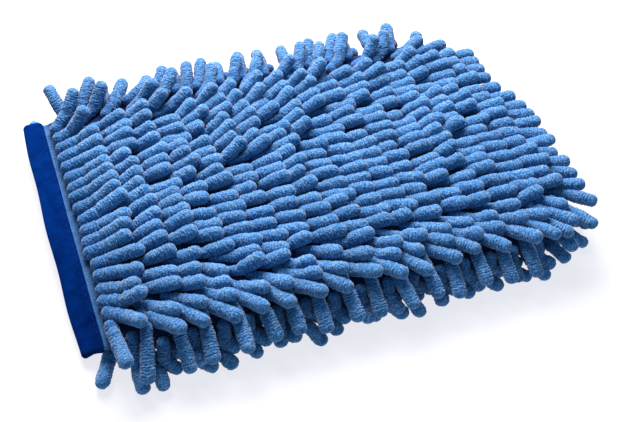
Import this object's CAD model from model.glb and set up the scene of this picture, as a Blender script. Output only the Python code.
"""Looks of the chenille wash mitt: every sewn row of noodles is laid by a small relaxation, then meshed
with its pile, and the cloth, the lining, the cuff and the seams are built round the same pouch.
Lengths are in millimetres in the pouch's own frame until new_piece makes a mesh of them."""

import bpy
import numpy as np
from mathutils import Matrix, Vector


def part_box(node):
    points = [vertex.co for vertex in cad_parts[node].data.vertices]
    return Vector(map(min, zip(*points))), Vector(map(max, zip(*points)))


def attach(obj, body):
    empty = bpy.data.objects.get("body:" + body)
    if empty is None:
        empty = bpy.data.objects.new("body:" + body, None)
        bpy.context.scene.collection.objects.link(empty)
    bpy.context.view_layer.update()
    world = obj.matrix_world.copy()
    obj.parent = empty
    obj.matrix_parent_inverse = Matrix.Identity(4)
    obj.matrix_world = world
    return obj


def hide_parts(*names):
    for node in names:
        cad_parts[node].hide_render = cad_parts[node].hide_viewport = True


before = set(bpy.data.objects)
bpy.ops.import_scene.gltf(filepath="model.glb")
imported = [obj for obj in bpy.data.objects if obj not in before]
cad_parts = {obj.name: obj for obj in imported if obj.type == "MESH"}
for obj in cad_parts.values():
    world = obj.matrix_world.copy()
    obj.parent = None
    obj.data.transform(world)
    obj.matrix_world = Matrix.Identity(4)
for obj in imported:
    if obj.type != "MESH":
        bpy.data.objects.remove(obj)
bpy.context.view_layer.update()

MM = 0.001
SEED = 11

# ---- Sizes, in millimetres, from the frame ----


def box_mm(node):
    """Lowest and highest corner of a CAD node, in millimetres."""
    low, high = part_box(node)
    return np.array(low) / MM, np.array(high) / MM


ROWS = sum(name.startswith("upper_noodles_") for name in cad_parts)
MOUTH_X = box_mm("cuff_band")[0][0]
CUFF_W = box_mm("cuff_band")[1][0] - MOUTH_X
CLOSED_X, HALF_W, CLOTH_TOP = box_mm("upper_panel")[1]
CLOTH_BOTTOM = box_mm("lower_panel")[0][2]
MID_Z = (CLOTH_TOP + CLOTH_BOTTOM) / 2
HALF_T = (CLOTH_TOP - CLOTH_BOTTOM) / 2
CORNER_R = 26.0
RIM_Y = HALF_W - HALF_T

ROOT_BACK = 7.29                       # from the back of a CAD row's box to its line of roots
FIRST_X = box_mm("upper_noodles_01")[0][0] + ROOT_BACK
LAST_X = box_mm("upper_noodles_%02d" % ROWS)[0][0] + ROOT_BACK
ROW_PITCH = (LAST_X - FIRST_X) / (ROWS - 1)
NOODLE_PITCH = 8.1
HALF_ROOTS = 10
TAPE_W = 4.0                           # the tape under each row
TAPE_T = 0.8

CUFF_SAG = 4.5                         # how far the empty mouth sinks below the pouch's middle plane
CUFF_T = 1.5                           # one folded band of the cuff
MOUTH_GAP = 1.5                        # between the two bands of the empty mouth
MOUTH_GATHER = 4.0                     # how far each side of the pouch draws in at the mouth
ELASTIC_T = 0.4
ELASTIC_HALF_W = 3.5
BAND_HALF_W = HALF_W - 2.0
BAND_INSET = 1.5                       # from the cuff's rim to the cloth's edge inside it

# How the soft pouch lies: slopes have no unit
FAR_DROOP, NEAR_DROOP = 0.05, 0.5      # slope of the cuff at its far end, and what its near end adds
NEAR_SINK = 4.0                        # how far the mouth's near end sinks
MOUTH_SHIFT, NEAR_SHIFT = 2.2, 4.6     # how far the mouth moves to the far side, and what its near end adds
SKEW = -0.1                            # how far the closed end swings round


def smooth(t):
    """A smooth step from 0 to 1."""
    t = np.clip(t, 0.0, 1.0)
    return t * t * (3 - 2 * t)


def mid_height(x):
    """Height of the pocket's middle plane: it sinks a little towards the empty mouth."""
    return MID_Z - CUFF_SAG * (1 - smooth((x - MOUTH_X) / 48))


def half_thickness(x):
    """Half the pouch's thickness over the cloth: it closes towards the mouth."""
    thin = MOUTH_GAP / 2 + CUFF_T * 0.55
    return thin + (HALF_T - thin) * smooth((x - MOUTH_X - 6) / 34)


def half_width(x):
    """Half the pouch's width at x, with the closed end's round corners."""
    past = np.clip(x - (CLOSED_X - CORNER_R), 0, CORNER_R)
    gather = MOUTH_GATHER * (1 - smooth((x - MOUTH_X - 6) / 26))
    return HALF_W - CORNER_R - gather + np.sqrt(CORNER_R**2 - past**2)


def sunk_mouth(verts):
    """Points of the cloth or the cuff moved as the empty mouth droops, shifts, and sinks at its near end."""
    verts = np.array(verts, float)
    droop = FAR_DROOP + NEAR_DROOP * smooth((40 - verts[:, 1]) / 120)
    verts[:, 2] -= droop * np.maximum(MOUTH_X + CUFF_W - verts[:, 0], 0)
    at_mouth = 1 - smooth((verts[:, 0] - MOUTH_X - 6) / (FIRST_X - MOUTH_X - 10))
    near = smooth((-verts[:, 1] - 10) / 80)
    verts[:, 2] -= NEAR_SINK * near * at_mouth
    verts[:, 1] += (MOUTH_SHIFT + NEAR_SHIFT * near) * at_mouth
    return verts


def as_it_lies(verts):
    """Points of the straight pouch moved to where the soft pouch lies, its closed end swung a little."""
    verts = np.array(verts, float)
    verts[:, 0] += SKEW * verts[:, 1] * smooth((verts[:, 0] - MOUTH_X - 30) / 260)
    return verts


# ---- Where the noodles lie ----

POINTS = 9                             # along one noodle's centre line
NOODLE_L = 31.5
UPPER_R = 3.7
LOWER_R = 3.3
PRESSED = np.array([0.44, 0.46, 0.54, 0.7, 0.86, 0.96, 1.0, 1.0, 1.0])   # share of the radius, root to tip

# Turns from +X and leans from level, in degrees, of upper noodles unless LOWER
COMB_TURN = -2                         # over the middle
COMB_WAVE = 10                         # most that the comb waves one way, near the cuff's far half
COMB_DIP = 7                           # and the other way, in the middle
COMB_STRAY = 4
CLOSED_TURN = 18                       # towards the near side by the closed end
NEAR_TURN = 84                         # over the near side
SPLAY = 30                             # back towards the cuff by its near end
FAR_TURN = 36                          # over the far side
LOWER_FAN = 63                         # of the lower face over both sides
PARTED = 7.5                           # neighbours that hang, to one side and the other in turn
FIRST_FAR_TURN = 48                    # what the first row adds at its far end
FIRST_LOWER_TURN = 60                  # and on the lower face, at both ends
OUTER_TURN, OUTER_LEAN = 24, -38       # added turn, and lean, of the outermost on the far side
FAR_RIM_TURN, FAR_RIM_LEAN = 72, -60
FIRST_RIM_TURN, FIRST_RIM_LEAN = 126, 8
UPPER_LEAN, LOWER_LEAN = 9, -4
EDGE_HANG = 60                         # how far noodles hang at the sides
CLOSED_HANG, LAST_HANG = 27, 22        # at the closed end, and what the last two rows add
RIM_HANG = 20
LOWER_HANG = 0.4                       # share of the hang that the lower noodles take

# Shares of the length that noodles are shorter by
RIM_SHORT, OUTER_SHORT, CORNER_SHORT = 0.22, 0.12, 0.24
FIRST_RIM_LONG = 0.15

# The relaxation
SAG = 0.14                             # fall in one round
ROOT_HOLD = 0.3
STIFFNESS = 0.34
ROUNDS, QUICK_ROUNDS = 320, 90
PAIR_ROUNDS, PAIR_MARGIN = 12, 2.2     # rounds between two searches for neighbours, and how near they are
PILE_FAT = 1.03                        # the meshed pile against the radius that settles
PILE_ROOM = 0.85                       # kept over the floor for the pile's relief


def bell(x, middle, width):
    """A smooth bump of height one round its middle."""
    return np.exp(-(((x - middle) / width) ** 2))


def heading(x, y):
    """Degrees that the upper noodles turn from +X: combed straight, and fanned over the near side."""
    wave = COMB_WAVE * bell(x, -48, 26) * smooth((y + 25) / 50)
    wave = wave - COMB_DIP * bell(x, 4, 26) * smooth((48 - np.abs(y)) / 30)
    stray = COMB_STRAY * np.sin(0.21 * x + 0.05 * y) * np.sin(0.13 * y + 0.033 * x + 1)
    turn = COMB_TURN + wave + stray - CLOSED_TURN * smooth((x - 85) / 40)
    near = smooth((-y - 30 + 7 * np.sin(0.12 * x)) / 61)
    splay = SPLAY * bell(x, FIRST_X, 22) * smooth((-y - 60) / 18)
    far = smooth((y - 62) / 12)
    return turn * (1 - near) - (NEAR_TURN + splay) * near + FAR_TURN * far


def row_places(face, x):
    """Places of one row's noodles across the pouch, and which of them stand on its rims."""
    room = half_width(x + 6) - HALF_T
    half = min(HALF_ROOTS, int(room // NOODLE_PITCH))
    rim = int(face > 0)
    y = np.arange(-half - rim, half + rim + 1) * NOODLE_PITCH
    return y, (np.abs(y) > (half + 0.5) * NOODLE_PITCH) * 1.0


def comb_row(rng, face, row, x, y, on_rim):
    """Turn and lean of one row's noodles, in radians."""
    n, upper = len(y), face > 0
    edge, closed = at_edge(y), at_closed_end(x)
    far = smooth((y - 62) / 19) * upper
    turn = heading(x, y) if upper else LOWER_FAN * np.sign(y) * smooth((np.abs(y) - 32) / 44)
    turn = turn + rng.normal(0, 1, n) * (5 + 5 * edge + 12 * far + 4 * closed)
    if upper:
        turn = turn + PARTED * np.maximum(edge * (1 - far), closed) * (-1.0) ** np.arange(n)
    if row == 0 and upper:
        turn = turn + FIRST_FAR_TURN * smooth((y - 74) / 6)
    if row == 0 and not upper:
        turn = turn + FIRST_LOWER_TURN * np.sign(y) * (np.abs(y) > 70)
    at_end = CLOSED_HANG + LAST_HANG * (row >= ROWS - 2)
    hang = EDGE_HANG * edge * (1 - far) + at_end * closed * (1 - edge * (1 - far)) + RIM_HANG * on_rim
    lean = UPPER_LEAN - hang if upper else LOWER_LEAN - hang * LOWER_HANG
    lean = lean + rng.normal(0, 2.5 + 4 * closed, n) + (-3 + rng.normal(0, 6, n)) * far
    turn = np.where(is_outermost(face, y), turn + OUTER_TURN, turn)
    lean = np.where(is_outermost(face, y), OUTER_LEAN + rng.normal(0, 6, n), lean)
    far_rim = (y > 0) & (on_rim > 0)
    turn = np.where(far_rim, FAR_RIM_TURN + rng.normal(0, 8, n) if row else FIRST_RIM_TURN, turn)
    lean = np.where(far_rim, FAR_RIM_LEAN + rng.normal(0, 6, n) if row else FIRST_RIM_LEAN, lean)
    return np.radians(turn), np.radians(lean)


def at_edge(y):
    """0 over the middle of the pouch, 1 at its sides."""
    return smooth((np.abs(y) - 46) / 34)


def at_closed_end(x):
    """0 over the middle of the pouch, 1 by its closed end."""
    return smooth((x - 88) / 36)


def is_outermost(face, y):
    """Which noodles are the upper face's last ones on the far side."""
    return (y > 77) & (face > 0)


def row_girth(face, row, y):
    """Radius along each noodle of a row: thin under the row before, full where it is open to view."""
    edge = at_edge(y)
    open_to_view = np.maximum(0.75 * edge, row == 0)[:, None]
    radius = UPPER_R if face > 0 else LOWER_R * (1 + 0.12 * edge[:, None])
    return radius * (PRESSED * (1 - open_to_view) + open_to_view)


def plant_row(rng, face, row):
    """One row's noodles: face, row, root, direction, length and radius along each."""
    x = FIRST_X + row * ROW_PITCH
    y, on_rim = row_places(face, x)
    n = len(y)
    turn, lean = comb_row(rng, face, row, x, y, on_rim)
    girth = row_girth(face, row, y)
    rx = x + rng.normal(0, 0.6, n) + on_rim * ROW_PITCH / 2
    root = np.stack([rx, y + rng.normal(0, 0.4, n), np.zeros(n)], 1)
    over = half_thickness(rx) + 0.8 * girth[:, 0]
    root[:, 2] = mid_height(rx) + face * over * (1 - 0.75 * on_rim)
    aim = np.stack([np.cos(lean) * np.cos(turn), np.cos(lean) * np.sin(turn), np.sin(lean)], 1)
    shorter = (RIM_SHORT * (row > 0) - FIRST_RIM_LONG * (row == 0) * (y < 0)) * on_rim
    shorter = shorter + OUTER_SHORT * is_outermost(face, y)
    shorter = shorter + CORNER_SHORT * at_closed_end(x) * smooth((y - 10) / 30)
    length = NOODLE_L * (1 + rng.normal(0, 0.05, n)) * (1 - shorter)
    return np.full(n, face), np.full(n, row), root, aim, length, girth


def plant_noodles(rng):
    """The roots, headings and sizes of all noodles, row by row, upper face first."""
    rows = [plant_row(rng, face, row) for face in (1, -1) for row in range(ROWS)]
    face, row, root, aim, length, girth = (np.concatenate(part) for part in zip(*rows))
    step = (length - 2 * girth[:, -1]) / (POINTS - 1)
    line = root[:, None] + aim[:, None] * (step[:, None] * np.arange(POINTS))[:, :, None]
    return {"face": face, "row": row, "root": root, "aim": aim, "step": step, "girth": girth,
            "line": line, "tone": rng.normal(0, 1, len(face)), "seed": rng.integers(0, 2**31, len(face))}


def pouch_push(line, reach, free):
    """How far each point moves to leave the pouch, a rounded slab round its middle plane."""
    p = line.reshape(-1, 3)
    centre_z, half_t = mid_height(p[:, 0]), half_thickness(p[:, 0])
    x = np.clip(p[:, 0], MOUTH_X + 2, CLOSED_X - HALF_T)
    y = np.clip(p[:, 1], -RIM_Y, RIM_Y)
    core = CORNER_R - HALF_T
    dx, dy = x - (CLOSED_X - CORNER_R), np.abs(y) - (HALF_W - CORNER_R)
    off = np.hypot(dx, dy) + 1e-9
    cut = (dx > 0) & (dy > 0) & (off > core)
    x = np.where(cut, CLOSED_X - CORNER_R + dx * core / off, x)
    y = np.where(cut, np.sign(y) * (HALF_W - CORNER_R + dy * core / off), y)
    away = p - np.stack([x, y, centre_z], 1)
    gap = np.linalg.norm(away, axis=1) + 1e-9
    depth = np.maximum(0, half_t + reach - gap) * free
    return (away / gap[:, None] * depth[:, None]).reshape(line.shape)


def near_pairs(p, radius, owner, margin):
    """Pairs of points of different noodles that are closer than their radii and a margin."""
    order = np.argsort(p[:, 0], kind="stable")
    along = p[order, 0]
    reach = 2 * radius.max() + margin
    last = np.searchsorted(along, along + reach)
    first_of, second_of = [], []
    for skip in range(1, int((last - np.arange(len(p))).max())):
        i = np.nonzero(last[:-skip] > np.arange(skip, len(p)))[0]
        a, b = order[i], order[i + skip]
        gap = p[a] - p[b]
        close = (owner[a] != owner[b]) & ((gap**2).sum(1) < (radius[a] + radius[b] + margin) ** 2)
        first_of.append(a[close])
        second_of.append(b[close])
    return np.concatenate(first_of), np.concatenate(second_of)


def part_pairs(p, a, b, touch, free):
    """How far each point moves to leave the noodles it presses into."""
    gap = p[a] - p[b]
    dist = np.sqrt((gap**2).sum(1)) + 1e-9
    hit = dist < touch
    a, b = a[hit], b[hit]
    push = gap[hit] / dist[hit, None] * (touch[hit] - dist[hit])[:, None] * 0.5
    n = len(p)
    hits = np.bincount(a, minlength=n) + np.bincount(b, minlength=n)
    move = np.stack([np.bincount(a, push[:, k], n) - np.bincount(b, push[:, k], n) for k in range(3)], 1)
    move *= (free / np.maximum(1, hits * 0.45))[:, None]
    size = np.linalg.norm(move, axis=1)[:, None]
    return move * np.minimum(1, 0.8 / (size + 1e-9))


def unit(v):
    """Vectors scaled to length one."""
    return v / (np.linalg.norm(v, axis=-1, keepdims=True) + 1e-9)


def settle(noodles, rounds):
    """Lets the noodles sag, bend and push each other apart until they lie on the pouch and the floor."""
    line, step, girth = noodles["line"], noodles["step"][:, None], noodles["girth"]
    count = len(line)
    owner = np.repeat(np.arange(count), POINTS)
    reach = girth.reshape(-1)
    loose = np.ones((count, POINTS))
    loose[:, 0] = 0
    loose[:, 1] = 0.3
    loose = loose.reshape(-1)
    for turn in range(rounds):
        if turn % PAIR_ROUNDS == 0:
            a, b = near_pairs(line.reshape(-1, 3), reach, owner, PAIR_MARGIN)
            touch = reach[a] + reach[b]
        line[:, 1:, 2] -= SAG * (1 if turn < 0.8 * rounds else 0.4)
        line[:, 1] += ROOT_HOLD * (line[:, 0] + noodles["aim"] * step - line[:, 1])
        for k in range(2, POINTS):
            straight = line[:, k - 1] + unit(line[:, k - 1] - line[:, k - 2]) * step
            line[:, k] += STIFFNESS * (straight - line[:, k])
        line += part_pairs(line.reshape(-1, 3), a, b, touch, loose).reshape(line.shape)
        line += pouch_push(line, reach, loose)
        line[:, :, 2] = np.maximum(line[:, :, 2], girth * PILE_FAT + PILE_ROOM)
        line[:, 0] = noodles["root"]
        for k in range(1, POINTS):
            line[:, k] = line[:, k - 1] + unit(line[:, k] - line[:, k - 1]) * step


# ---- Meshes ----

PHASES = 6.3                           # a whole turn, for random phases
FACES = ((1, "upper", 84, 46), (-1, "lower", 54, 26))   # side, its name, rings and points round a noodle
WRINKLE_PITCH = 1.5
RELIEF, MEAN_PILE = 1.2, 0.65          # height of the pile on the mesh, and the share of it that adds none
SWELL = 0.035                          # share that the girth swells and narrows by along a noodle
OVAL = 0.04                            # share that it is out of round by
CAP_POWER = 2.15                       # of the noodle's blunt end: 2 is a half circle
CLOTH_T, CLOTH_PUCKER = 0.8, 0.35
LINING_T, LINING_PUCKER, LINING_INSET = 0.4, 0.1, 1.1
STITCH_PITCH, STITCH_L, THREAD_R = 5.0, 3.4, 0.28


def new_piece(name, verts, faces, material, nodes, attributes=None):
    """A mesh piece from arrays: verts in millimetres, faces as arrays of equal-sided polygons."""
    mesh = bpy.data.meshes.new(name)
    mesh.vertices.add(len(verts))
    mesh.vertices.foreach_set("co", (as_it_lies(verts) * MM).astype(np.float32).ravel())
    corners = np.concatenate([np.asarray(f).ravel() for f in faces])
    sides = np.concatenate([np.full(len(f), np.asarray(f).shape[1]) for f in faces])
    mesh.loops.add(len(corners))
    mesh.loops.foreach_set("vertex_index", corners.astype(np.int32))
    mesh.polygons.add(len(sides))
    mesh.polygons.foreach_set("loop_start", np.concatenate([[0], np.cumsum(sides)[:-1]]).astype(np.int32))
    mesh.polygons.foreach_set("use_smooth", np.ones(len(sides), dtype=bool))
    for key, values in (attributes or {}).items():
        mesh.attributes.new(key, "FLOAT", "POINT").data.foreach_set("value", values.astype(np.float32))
    mesh.update(calc_edges=True)
    mesh.materials.append(material)
    piece = bpy.data.objects.new(name, mesh)
    bpy.context.scene.collection.objects.link(piece)
    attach(piece, "root")
    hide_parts(*nodes)
    return piece


def grid_faces(rows, columns, start=0, closed=False):
    """Quads over a grid of rows by columns of vertices; closed joins the last column to the first."""
    r = np.arange(rows - 1)[:, None] * columns
    c = np.arange(columns if closed else columns - 1)[None, :]
    nxt = (c + 1) % columns
    quads = np.stack([r + c, r + nxt, r + columns + nxt, r + columns + c], -1)
    return quads.reshape(-1, 4) + start


def curve_through(points, t):
    """Catmull-Rom points and tangents through control points (n, K, 3) at parameters t from 0 to 1."""
    k = points.shape[1]
    ends = [2 * points[:, :1] - points[:, 1:2], points, 2 * points[:, -1:] - points[:, -2:-1]]
    padded = np.concatenate(ends, 1)
    s = np.clip(t, 0, 1) * (k - 1)
    i = np.minimum(s.astype(int), k - 2)
    f = (s - i)[None, :, None]
    p0, p1, p2, p3 = (padded[:, i + j] for j in range(4))
    a, b, c = 2 * p1, p2 - p0, 2 * p0 - 5 * p1 + 4 * p2 - p3
    d = 3 * p1 - p0 - 3 * p2 + p3
    return (a + b * f + c * f**2 + d * f**3) / 2, unit(b + 2 * c * f + 3 * d * f**2)


def ring_stations(length, radius, rings):
    """Distances along a noodle from its root end to its tip, closer together over the blunt ends."""
    cap = max(5, rings // 12)
    turn = np.linspace(0, np.pi / 2, cap + 1)[1:-1]
    root_end = -radius[0] * np.cos(turn)
    body = np.linspace(0, length, rings - 2 * len(turn))
    return np.concatenate([root_end, body, length + radius[1] * np.sin(turn)])


def grains(rng, s, theta, along, across):
    """Smooth random values from 0 to 1 round a noodle, in cells of that size in millimetres."""
    columns = int(round(2 * np.pi * UPPER_R / across))
    cells = rng.uniform(0, 1, (64, columns))
    u = (s[:, None] + 10) / along + 0.8 * np.sin(theta + 0.9 * s[:, None])
    v = theta[None, :] / (2 * np.pi) * columns + 0 * u
    i, j = np.floor(u).astype(int), np.floor(v).astype(int)
    fu, fv = smooth(u - i), smooth(v - j)
    i, j, i2, j2 = i % 64, j % columns, (i + 1) % 64, (j + 1) % columns
    low = cells[i, j] * (1 - fv) + cells[i, j2] * fv
    high = cells[i2, j] * (1 - fv) + cells[i2, j2] * fv
    return low * (1 - fu) + high * fu


def pile(rng, s, theta):
    """Height of the pile round a noodle, and the value that its colour follows, each from 0 to 1."""
    tufts = np.abs(2 * grains(rng, s, theta, 1.0, 1.35) - 1) ** 0.6
    fine = grains(rng, s, theta, 0.55, 0.75)
    tilt = 0.5 * np.sin(theta + rng.uniform(0, PHASES))[None]
    wander = 3.0 * (grains(rng, s, theta, 2.4, 2.8) - 0.5)
    phase = np.pi * s[:, None] / WRINKLE_PITCH + tilt + wander + 0.8 * np.sin(0.4 * s)[:, None]
    wrinkle = np.abs(np.sin(phase)) ** 0.5
    grain = 0.4 * tufts + 0.6 * fine
    return np.clip(0.62 * grain + 0.5 * wrinkle, 0, 1), np.clip(0.55 * grain + 0.45 * wrinkle, 0, 1)


def frames_along(line, s, length):
    """Points, tangents and two cross directions, carried without twist, at stations along one noodle."""
    at, along = (part[0] for part in curve_through(line[None], s / length))
    at = at + along * (np.minimum(s, 0) + np.maximum(s - length, 0))[:, None]
    side = np.zeros_like(at)
    side[0] = unit(np.cross(along[0], (0.13, 0.27, 1.0)))
    for k in range(1, len(s)):
        side[k] = unit(side[k - 1] - along[k] * (side[k - 1] @ along[k]))
    return at, along, side, np.cross(along, side)


def noodle_skin(line, length, girths, seed, rings, theta):
    """One noodle's vertices, with the colour value of its pile and the place along it of each."""
    rng = np.random.default_rng(seed)
    ends = girths[0], girths[-1]
    s = ring_stations(length, ends, rings)
    at, along, side, up = frames_along(line, s, length)
    over = np.maximum(-s / ends[0], (s - length) / ends[1]).clip(0)
    body = np.interp(s, np.linspace(0, length, POINTS), girths)
    body = body * (1 + SWELL * np.sin(0.55 * s + rng.uniform(0, PHASES)))
    girth = body * (1 - over**CAP_POWER) ** (1 / CAP_POWER)
    hair, shade = pile(rng, s, theta)
    oval = 1 + OVAL * np.sin(2 * theta + rng.uniform(0, PHASES) + 0.1 * s[:, None])
    r = girth[:, None] * oval + RELIEF * (hair - MEAN_PILE) * np.sqrt(girth / body)[:, None]
    ring = at[:, None] + side[:, None] * (r * np.cos(theta))[..., None]
    ring = ring + up[:, None] * (r * np.sin(theta))[..., None]
    poles = np.stack([at[0] - along[0] * 0.08, at[-1] + along[-1] * 0.08])
    shade = np.concatenate([shade.ravel(), [0.6, 0.6]])
    tip = np.repeat((s + ends[0]) / (length + sum(ends)), len(theta))
    return np.concatenate([ring.reshape(-1, 3), poles]), shade, np.concatenate([tip, [0, 1]])


def noodle_faces(count, rings, around):
    """Quads and cap triangles of noodles that each have a block of rings and then two poles."""
    block = rings * around + 2
    quads = grid_faces(rings, around, closed=True)
    c = np.arange(around)
    low = np.stack([np.full(around, block - 2), (c + 1) % around, c], 1)
    base = (rings - 1) * around
    high = np.stack([np.full(around, block - 1), base + c, base + (c + 1) % around], 1)
    offsets = (np.arange(count) * block)[:, None, None]
    quads = (quads[None] + offsets).reshape(-1, 4)
    return quads, (np.concatenate([low, high])[None] + offsets).reshape(-1, 3)


def noodle_meshes(noodles, pick, rings, around):
    """Vertices, quads, cap triangles and attributes of the picked noodles."""
    theta = np.linspace(0, 2 * np.pi, around, endpoint=False)
    length = noodles["step"][pick] * (POINTS - 1)
    girths = noodles["girth"][pick] * PILE_FAT
    each = zip(noodles["line"][pick], length, girths, noodles["seed"][pick])
    verts, shade, tip = zip(*(noodle_skin(*one, rings, theta) for one in each))
    tone = np.repeat(noodles["tone"][pick], rings * around + 2)
    quads, tris = noodle_faces(len(verts), rings, around)
    values = {"pile": np.concatenate(shade), "tone": tone, "tip": np.concatenate(tip)}
    return np.concatenate(verts), quads, tris, values


def row_tape(face, row):
    """The narrow tape that a row is sewn to: a thin closed bar across the pouch."""
    y = np.linspace(-HALF_ROOTS * NOODLE_PITCH, HALF_ROOTS * NOODLE_PITCH, 60)[:, None]
    y = y * min(1, half_width(FIRST_X + row * ROW_PITCH + 6) / HALF_W)
    turn = np.linspace(0, 2 * np.pi, 8, endpoint=False)[None] + np.pi / 8
    x = FIRST_X + row * ROW_PITCH + TAPE_W / 2 * np.sin(turn) + 0 * y
    z = mid_height(x) + face * half_thickness(x) + TAPE_T / 2 * np.cos(turn)
    verts = np.stack([x, y + 0 * x, z], -1).reshape(-1, 3)
    ends = [np.arange(8)[None, ::-1], len(verts) - 8 + np.arange(8)[None]]
    return verts, grid_faces(len(y), 8, closed=True), ends


def add_rows(noodles, material):
    """One piece for each sewn row: its noodles and the tape that holds them."""
    for face, side, rings, around in FACES:
        for row in range(ROWS):
            pick = (noodles["face"] == face) & (noodles["row"] == row)
            verts, quads, tris, values = noodle_meshes(noodles, pick, rings, around)
            tape, sides, ends = row_tape(face, row)
            sides, ends = sides + len(verts), [end + len(verts) for end in ends]
            values = {key: np.append(value, np.zeros(len(tape))) for key, value in values.items()}
            verts = np.concatenate([verts, tape])
            name = "%s_row_%02d" % (side, row + 1)
            node = "%s_noodles_%02d" % (side, row + 1)
            new_piece(name, verts, [quads, tris, sides, *ends], material, [node], values)


def edge_distance(x, y):
    """Distance inside the pouch's outline, without its open mouth."""
    dx, dy = x - (CLOSED_X - CORNER_R), np.abs(y) - (HALF_W - CORNER_R)
    corner = CORNER_R - np.hypot(np.maximum(dx, 0), np.maximum(dy, 0))
    side = np.minimum(CLOSED_X - x, half_width(x) - np.abs(y))
    return np.where((dx > 0) & (dy > 0), corner, side)


def cloth_grid(inset):
    """Places of a cloth's points and their rise: flat over the pocket, turned down to the side seam."""
    straight = np.linspace(MOUTH_X + BAND_INSET, CLOSED_X - CORNER_R, 150)
    turn = np.linspace(0, np.pi / 2, 42)[1:]
    x = np.concatenate([straight, CLOSED_X - CORNER_R + (CORNER_R - inset) * np.sin(turn)])
    flat = np.linspace(-1, 1, 121)
    eta = np.sign(flat) * (1 - (1 - np.abs(flat)) ** 1.35)
    gx = np.repeat(x[:, None], len(eta), 1)
    gy = (half_width(np.minimum(gx + inset, CLOSED_X)) - inset) * eta[None, :]
    half = half_thickness(gx) - inset
    inside = np.clip((edge_distance(gx, gy) - inset) / np.maximum(half, 0.3), 0, 1)
    rise = half * np.sqrt(1 - (1 - inside) ** 2)
    return gx, gy, rise


def add_cloth(name, face, inset, thickness, pucker, material, node):
    """One face of cloth as a thin sheet, drawn in a little along each sewn row."""
    gx, gy, rise = cloth_grid(inset)
    drawn_in = 0.5 + 0.5 * np.cos(2 * np.pi * (gx - FIRST_X) / ROW_PITCH)
    rise = rise - pucker * drawn_in * (gx > FIRST_X - 8)
    rise = rise + pucker * 0.4 * np.sin(gy * 0.9 + 2 * np.sin(gx * 0.21)) * np.sin(gx * 0.6)
    rise = np.maximum(rise, 0.0)
    verts = np.stack([gx, gy, mid_height(gx) + face * rise], -1).reshape(-1, 3)
    quads = grid_faces(*gx.shape)
    if face > 0:
        quads = quads[:, ::-1]
    bare = 1 - smooth((gx.ravel() - FIRST_X + 7) / 6)
    piece = new_piece(name, sunk_mouth(verts), [quads], material, [node], {"bare": bare})
    solid = piece.modifiers.new("cloth", "SOLIDIFY")
    solid.thickness = thickness * MM
    solid.offset = -1
    return piece


def add_pouch():
    """The two faces' cloth, and the lining inside each, declared as sheets."""
    cloth = knit("base_cloth", (0.012, 0.08, 0.23), (0.07, 0.17, 0.38), scale=1000, depth=1.2, sheen=0.12,
                 shaded=True)
    lining = knit("lining_mesh", (0.03, 0.08, 0.28), (0.08, 0.17, 0.45), scale=900, depth=0.3, sheen=0.1)
    for face, side in ((1, "upper"), (-1, "lower")):
        outer = add_cloth(side + "_cloth", face, 0.0, CLOTH_T, CLOTH_PUCKER,
                          cloth, side + "_panel")
        inner = add_cloth(side + "_mesh", face, LINING_INSET, LINING_T, LINING_PUCKER,
                          lining, side + "_lining")


def mouth_loop(half_gap, count, half_w):
    """Closed loop of (y, z) and outward (y, z) round the flattened mouth."""
    straight = np.linspace(-half_w + half_gap, half_w - half_gap, count)
    turn = np.linspace(-np.pi / 2, np.pi / 2, 18)[1:-1]
    y_end = half_w - half_gap
    right = np.stack([y_end + half_gap * np.cos(turn), half_gap * np.sin(turn)], 1)
    top = np.stack([straight[::-1], np.full(count, half_gap)], 1)
    bottom = np.stack([straight, np.full(count, -half_gap)], 1)
    loop = np.concatenate([bottom, right, top, -right])
    out_right = np.stack([np.cos(turn), np.sin(turn)], 1)
    down, up = np.tile([0, -1.0], (count, 1)), np.tile([0, 1.0], (count, 1))
    return loop, np.concatenate([down, out_right, up, -out_right])


def round_mouth(section_x, section_r, half_gap):
    """Vertices and quads of a closed section, in x and outward, swept round the soft empty mouth."""
    loop, out = mouth_loop(half_gap, 130, BAND_HALF_W)
    y = loop[:, None, 0] + out[:, None, 0] * section_r
    z = loop[:, None, 1] + out[:, None, 1] * section_r
    end = smooth((np.abs(y) - BAND_HALF_W + 3) / 4)
    x = CUFF_W / 2 + (section_x[None] - CUFF_W / 2) * (1 - 0.28 * end)
    x, z = soft_mouth(MOUTH_X + x, y, z)
    verts = np.stack([x, y, z], -1).reshape(-1, 3)
    quads = grid_faces(len(loop) + 1, len(section_x), closed=True) % len(verts)
    return sunk_mouth(verts), quads[:, ::-1]


def soft_mouth(x, y, z):
    """Where a point of the straight mouth lies: its rim bows out and waves a little."""
    ease = smooth((MOUTH_X + CUFF_W + 4 - x) / CUFF_W)
    bow = 1.3 * (1 - (y / BAND_HALF_W) ** 2) + 0.35 * np.sin(y * 0.11 + 1)
    return x - bow * ease, mid_height(x) + z


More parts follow.
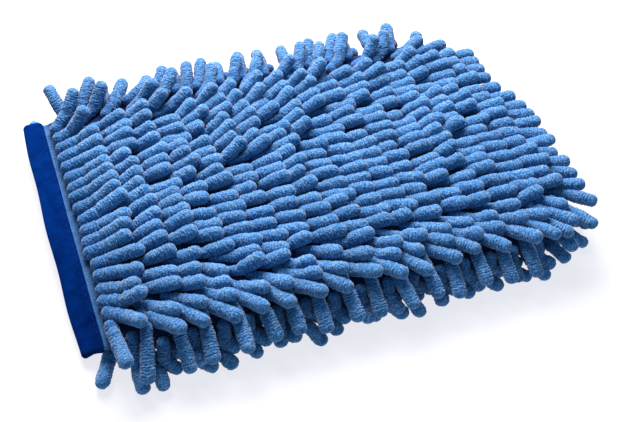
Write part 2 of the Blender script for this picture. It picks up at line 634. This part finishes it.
def add_cuff():
    """The folded band round the mouth, and the woven elastic inside it."""
    turn = np.linspace(0, 2 * np.pi, 44, endpoint=False)
    flat_cos = np.sign(np.cos(turn)) * np.abs(np.cos(turn)) ** 0.34
    flat_sin = np.sign(np.sin(turn)) * np.abs(np.sin(turn)) ** 0.62
    middle, half_x = CUFF_W / 2, CUFF_W / 2 + 0.1
    pile_cloth = velvet()
    woven = knit("elastic", (0.25, 0.28, 0.34), (0.5, 0.53, 0.6), scale=1800, depth=0.15, sheen=0.0)
    verts, quads = round_mouth(middle + half_x * flat_cos, CUFF_T / 2 * flat_sin, (MOUTH_GAP + CUFF_T) / 2)
    new_piece("cuff_fold", verts, [quads], pile_cloth, ["cuff_band"])
    tape_x = middle + ELASTIC_HALF_W * flat_cos
    verts, quads = round_mouth(tape_x, ELASTIC_T / 2 * flat_sin, (MOUTH_GAP - ELASTIC_T) / 2)
    new_piece("mouth_elastic", verts, [quads], woven, ["cuff_elastic"])


def stitch_line(path, out):
    """Vertices and quads of thread stitches along a path of points, arched over the cloth."""
    walk = np.concatenate([[0], np.cumsum(np.linalg.norm(np.diff(path, axis=0), axis=1))])
    rings, around = 15, 8
    turn = np.linspace(0, 2 * np.pi, around, endpoint=False)
    s = np.linspace(-STITCH_L / 2, STITCH_L / 2, rings)
    arch = 1 - (2 * s / STITCH_L) ** 4
    ply = 1 + 0.14 * np.cos(2 * turn[None] - 5.5 * s[:, None])
    ply = THREAD_R * ply * (0.35 + 0.65 * arch[:, None])
    verts, quads = [], []
    for middle in np.arange(STITCH_PITCH / 2, walk[-1], STITCH_PITCH):
        at = np.stack([np.interp(middle + s, walk, path[:, k]) for k in range(3)], 1)
        up = np.stack([np.interp(middle + s, walk, out[:, k]) for k in range(3)], 1)
        at = at + up * (THREAD_R * (arch - 0.75))[:, None]
        across = unit(np.cross(unit(np.gradient(at, axis=0)), up))
        ring = at[:, None] + across[:, None] * (ply * np.cos(turn))[..., None]
        ring = ring + up[:, None] * (ply * np.sin(turn))[..., None]
        quads.append(grid_faces(rings, around, len(verts) * rings * around, closed=True))
        verts.append(ring.reshape(-1, 3))
    return np.concatenate(verts), np.concatenate(quads)


def add_cuff_stitches(material):
    """The two lines of stitches that hold the cuff, one on each face."""
    y = np.linspace(-BAND_HALF_W + 3, BAND_HALF_W - 3, 160)
    parts, faces = [], []
    for face in (1, -1):
        flat_z = face * (MOUTH_GAP / 2 + CUFF_T)
        x, z = soft_mouth(np.full_like(y, MOUTH_X + CUFF_W - 1.8), y, flat_z)
        verts, quads = stitch_line(np.stack([x, y, z], 1), np.tile([0, 0, float(face)], (len(y), 1)))
        faces.append(quads + sum(len(v) for v in parts))
        parts.append(sunk_mouth(verts))
    new_piece("cuff_stitches", np.concatenate(parts), faces, material, ["cuff_stitching"])


def add_seam_stitches(material):
    """The stitches along the pouch's two sides and its closed end."""
    side_x = np.linspace(MOUTH_X + CUFF_W + 2, CLOSED_X - CORNER_R, 120)
    turn = np.linspace(0, np.pi / 2, 30)[1:]
    corner_x = CLOSED_X - CORNER_R + CORNER_R * np.sin(turn)
    x = np.concatenate([side_x, corner_x])
    y = half_width(x)
    x, y = np.concatenate([x, x[::-1]]), np.concatenate([y, -y[::-1]])
    path = np.stack([x, y, mid_height(x)], 1)
    along = unit(np.gradient(path, axis=0))
    out = np.stack([-along[:, 1], along[:, 0], 0 * x], 1)
    verts, quads = stitch_line(path + out * 0.1, out)
    new_piece("seam_stitches", sunk_mouth(verts), [quads], material, ["side_seam_stitching"])


# ---- Materials ----


def material(name, roughness, sheen=0.0, sheen_roughness=0.4, sheen_tint=(1, 1, 1, 1)):
    """A material with its node tree and its shader, whose constant values are set on its own sockets."""
    made = bpy.data.materials.new(name)
    made.use_nodes = True
    shader = made.node_tree.nodes["Principled BSDF"]
    shader.inputs["Roughness"].default_value = roughness
    shader.inputs["Specular IOR Level"].default_value = 0.1
    shader.inputs["Sheen Weight"].default_value = sheen
    shader.inputs["Sheen Roughness"].default_value = sheen_roughness
    shader.inputs["Sheen Tint"].default_value = sheen_tint
    return made, made.node_tree, shader


def noise(tree, scale, detail=3.0, rough=0.6):
    """A noise texture in object coordinates, with scale in cells per metre."""
    where = tree.nodes.new("ShaderNodeTexCoord")
    node = tree.nodes.new("ShaderNodeTexNoise")
    node.inputs["Scale"].default_value = scale
    node.inputs["Detail"].default_value = detail
    node.inputs["Roughness"].default_value = rough
    tree.links.new(where.outputs["Object"], node.inputs["Vector"])
    return node.outputs["Fac"]


def maths(tree, kind, a, b):
    """A math node of two values, each a socket or a number."""
    node = tree.nodes.new("ShaderNodeMath")
    node.operation = kind
    for slot, value in zip(node.inputs, (a, b)):
        if isinstance(value, (int, float)):
            slot.default_value = value
        else:
            tree.links.new(value, slot)
    return node.outputs[0]


def ramp(tree, value, stops):
    """A colour ramp over a value; stops are (position, colour)."""
    node = tree.nodes.new("ShaderNodeValToRGB")
    while len(node.color_ramp.elements) < len(stops):
        node.color_ramp.elements.new(0.5)
    for element, (position, colour) in zip(node.color_ramp.elements, stops):
        element.position = position
        element.color = (*colour, 1)
    tree.links.new(value, node.inputs["Fac"])
    return node.outputs["Color"]


def tint(tree, colour, factor):
    """A colour scaled by a value."""
    node = tree.nodes.new("ShaderNodeVectorMath")
    node.operation = "SCALE"
    tree.links.new(colour, node.inputs[0])
    tree.links.new(factor, node.inputs["Scale"])
    return node.outputs[0]


def times(tree, colour, other):
    """Two colours multiplied."""
    node = tree.nodes.new("ShaderNodeVectorMath")
    node.operation = "MULTIPLY"
    tree.links.new(colour, node.inputs[0])
    tree.links.new(other, node.inputs[1])
    return node.outputs[0]


def bump(tree, shader, height, distance, strength=1.0):
    """A bump on the shader, of that distance in millimetres for a height of one."""
    node = tree.nodes.new("ShaderNodeBump")
    node.inputs["Strength"].default_value = strength
    node.inputs["Distance"].default_value = distance * MM
    tree.links.new(height, node.inputs["Height"])
    tree.links.new(node.outputs["Normal"], shader.inputs["Normal"])


def value_of(tree, key):
    """A value stored on the mesh's points."""
    node = tree.nodes.new("ShaderNodeAttribute")
    node.attribute_name = key
    return node.outputs["Fac"]


def chenille():
    """Soft pile: deep blue in the grooves and at the roots, paler on the tufts and towards the tips."""
    made, tree, shader = material("chenille", roughness=0.95, sheen=0.34, sheen_tint=(1, 0.88, 0.8, 1))
    fibres = noise(tree, 1150, 2, 0.5)
    grain = maths(tree, "MULTIPLY", fibres, 0.85)
    height = maths(tree, "ADD", maths(tree, "MULTIPLY", value_of(tree, "pile"), 0.6), grain)
    groove, side, tuft = (0.012, 0.085, 0.25), (0.04, 0.155, 0.37), (0.155, 0.26, 0.435)
    colour = ramp(tree, height, [(0.6, groove), (0.8, side), (1.0, tuft)])
    shade = maths(tree, "ADD", maths(tree, "MULTIPLY", value_of(tree, "tone"), 0.05), 1.0)
    patch = maths(tree, "ADD", maths(tree, "MULTIPLY", noise(tree, 22, 2), 0.3), 0.85)
    colour = tint(tree, colour, maths(tree, "MULTIPLY", shade, patch))
    depth = ramp(tree, value_of(tree, "tip"), [(0.05, (0.4, 0.6, 0.72)), (0.75, (1, 1, 1))])
    tree.links.new(times(tree, colour, depth), shader.inputs["Base Color"])
    bump(tree, shader, fibres, 0.8)
    return made


def knit(name, dark, light, scale, depth, sheen, shaded=False):
    """Plain knitted or brushed cloth with a fine stitch grain; shaded cloth is deeper under the pile."""
    made, tree, shader = material(name, roughness=0.9, sheen=sheen, sheen_roughness=0.5,
                                  sheen_tint=(0.8, 0.88, 1, 1))
    grain = noise(tree, scale, 4, 0.65)
    patch = noise(tree, 60, 2)
    mix = maths(tree, "ADD", maths(tree, "MULTIPLY", grain, 0.7), maths(tree, "MULTIPLY", patch, 0.3))
    colour = ramp(tree, mix, [(0.3, dark), (0.7, light)])
    if shaded:
        shadow = ramp(tree, value_of(tree, "bare"), [(0, (0.06, 0.16, 0.3)), (1, (1, 1, 1))])
        colour = times(tree, colour, shadow)
    tree.links.new(colour, shader.inputs["Base Color"])
    bump(tree, shader, grain, depth)
    return made


def velvet():
    """The cuff's short dense pile: deep blue, brushed in soft patches."""
    made, tree, shader = material("cuff_velvet", roughness=1.0, sheen=0.04, sheen_roughness=0.3,
                                  sheen_tint=(0.0, 0.3, 1, 1))
    shader.inputs["Specular IOR Level"].default_value = 0.0
    patch = noise(tree, 120, 3, 0.6)
    grain = noise(tree, 2400, 3, 0.7)
    mix = maths(tree, "ADD", maths(tree, "MULTIPLY", patch, 0.4), maths(tree, "MULTIPLY", grain, 0.6))
    colour = ramp(tree, mix, [(0.32, (0.0002, 0.004, 0.04)), (0.68, (0.0008, 0.021, 0.14))])
    tree.links.new(colour, shader.inputs["Base Color"])
    bump(tree, shader, grain, 0.25, 0.7)
    return made


# ---- Setting ----

FLOOR_HALF_W = 60000.0                 # far enough that low views don't see its edge
FLOOR_GLOW = 0.795
ROOM_GLOW = 0.44
KEY_PLACE = (0.0, 0.36, 0.44)          # in metres
KEY_SIZE, KEY_POWER = 0.42, 13.6       # in metres and watts


def add_floor():
    """A plain pale floor that glows a little, like a light table."""
    made, _, shader = material("floor", roughness=0.8)
    shader.inputs["Emission Color"].default_value = (0.95, 0.94, 1, 1)
    shader.inputs["Emission Strength"].default_value = FLOOR_GLOW
    shader.inputs["Base Color"].default_value = (0.2, 0.2, 0.2, 1)
    half = FLOOR_HALF_W
    verts = np.array([[-half, -half, 0], [half, -half, 0], [half, half, 0], [-half, half, 0]])
    mesh = bpy.data.meshes.new("floor")
    mesh.from_pydata((verts * MM).tolist(), [], [(0, 1, 2, 3)])
    mesh.materials.append(made)
    floor = bpy.data.objects.new("floor", mesh)
    bpy.context.scene.collection.objects.link(floor)


def add_softbox(name, place, size, power):
    """A square area light, a little warm, that points at the mitt, with its place and size in metres."""
    lamp = bpy.data.lights.new(name, "AREA")
    lamp.color = (1.0, 0.92, 0.86)
    lamp.shape = "SQUARE"
    lamp.size = size
    lamp.energy = power
    box = bpy.data.objects.new(name, lamp)
    back = unit(np.array(place, float))
    side = unit(np.cross((0, 0, 1.0), back))
    turn = Matrix(np.stack([side, np.cross(back, side), back], 1).tolist()).to_4x4()
    box.matrix_world = Matrix.Translation(place) @ turn
    bpy.context.scene.collection.objects.link(box)


def add_light():
    """A bright room, and one large soft light high behind the far side."""
    world = bpy.data.worlds.new("room")
    world.use_nodes = True
    world.node_tree.nodes["Background"].inputs["Color"].default_value = (0.42, 0.8, 1.0, 1)
    world.node_tree.nodes["Background"].inputs["Strength"].default_value = ROOM_GLOW
    bpy.context.scene.world = world
    add_softbox("key", KEY_PLACE, KEY_SIZE, KEY_POWER)
    bpy.context.scene.view_settings.view_transform = "Standard"


def add_camera(elevation=51.2, turn=-26.2, roll=7.8, distance=0.607, aim=(-0.0042, -0.0293, 0.020),
               lens=59.3):
    """The photo's view: above the near side, turned towards the cuff, and rolled; degrees, metres and mm."""
    up_by, round_by, roll = np.radians((elevation, turn, roll))
    back = np.array([np.sin(round_by) * np.cos(up_by), -np.cos(round_by) * np.cos(up_by), np.sin(up_by)])
    right = unit(np.cross((0, 0, 1.0), back))
    up = np.cross(back, right)
    right, up = right * np.cos(roll) + up * np.sin(roll), up * np.cos(roll) - right * np.sin(roll)
    data = bpy.data.cameras.new("camera")
    data.lens = lens
    data.sensor_width = 36
    data.clip_start = 0.01
    camera = bpy.data.objects.new("camera", data)
    pose = Matrix(np.stack([right, up, back], 1).tolist()).to_4x4()
    camera.matrix_world = Matrix.Translation(np.array(aim) + back * distance) @ pose
    bpy.context.scene.collection.objects.link(camera)
    bpy.context.scene.camera = camera


def main():
    """The camera and lights, then the mitt from its noodles to its seams."""
    add_camera()
    add_light()
    add_floor()
    noodles = plant_noodles(np.random.default_rng(SEED))
    settle(noodles, ROUNDS)
    add_rows(noodles, chenille())
    add_pouch()
    add_cuff()
    thread = knit("thread", (0.0, 0.006, 0.06), (0.0, 0.015, 0.11), scale=3000, depth=0.05, sheen=0.0)
    add_cuff_stitches(thread)
    add_seam_stitches(thread)


main()
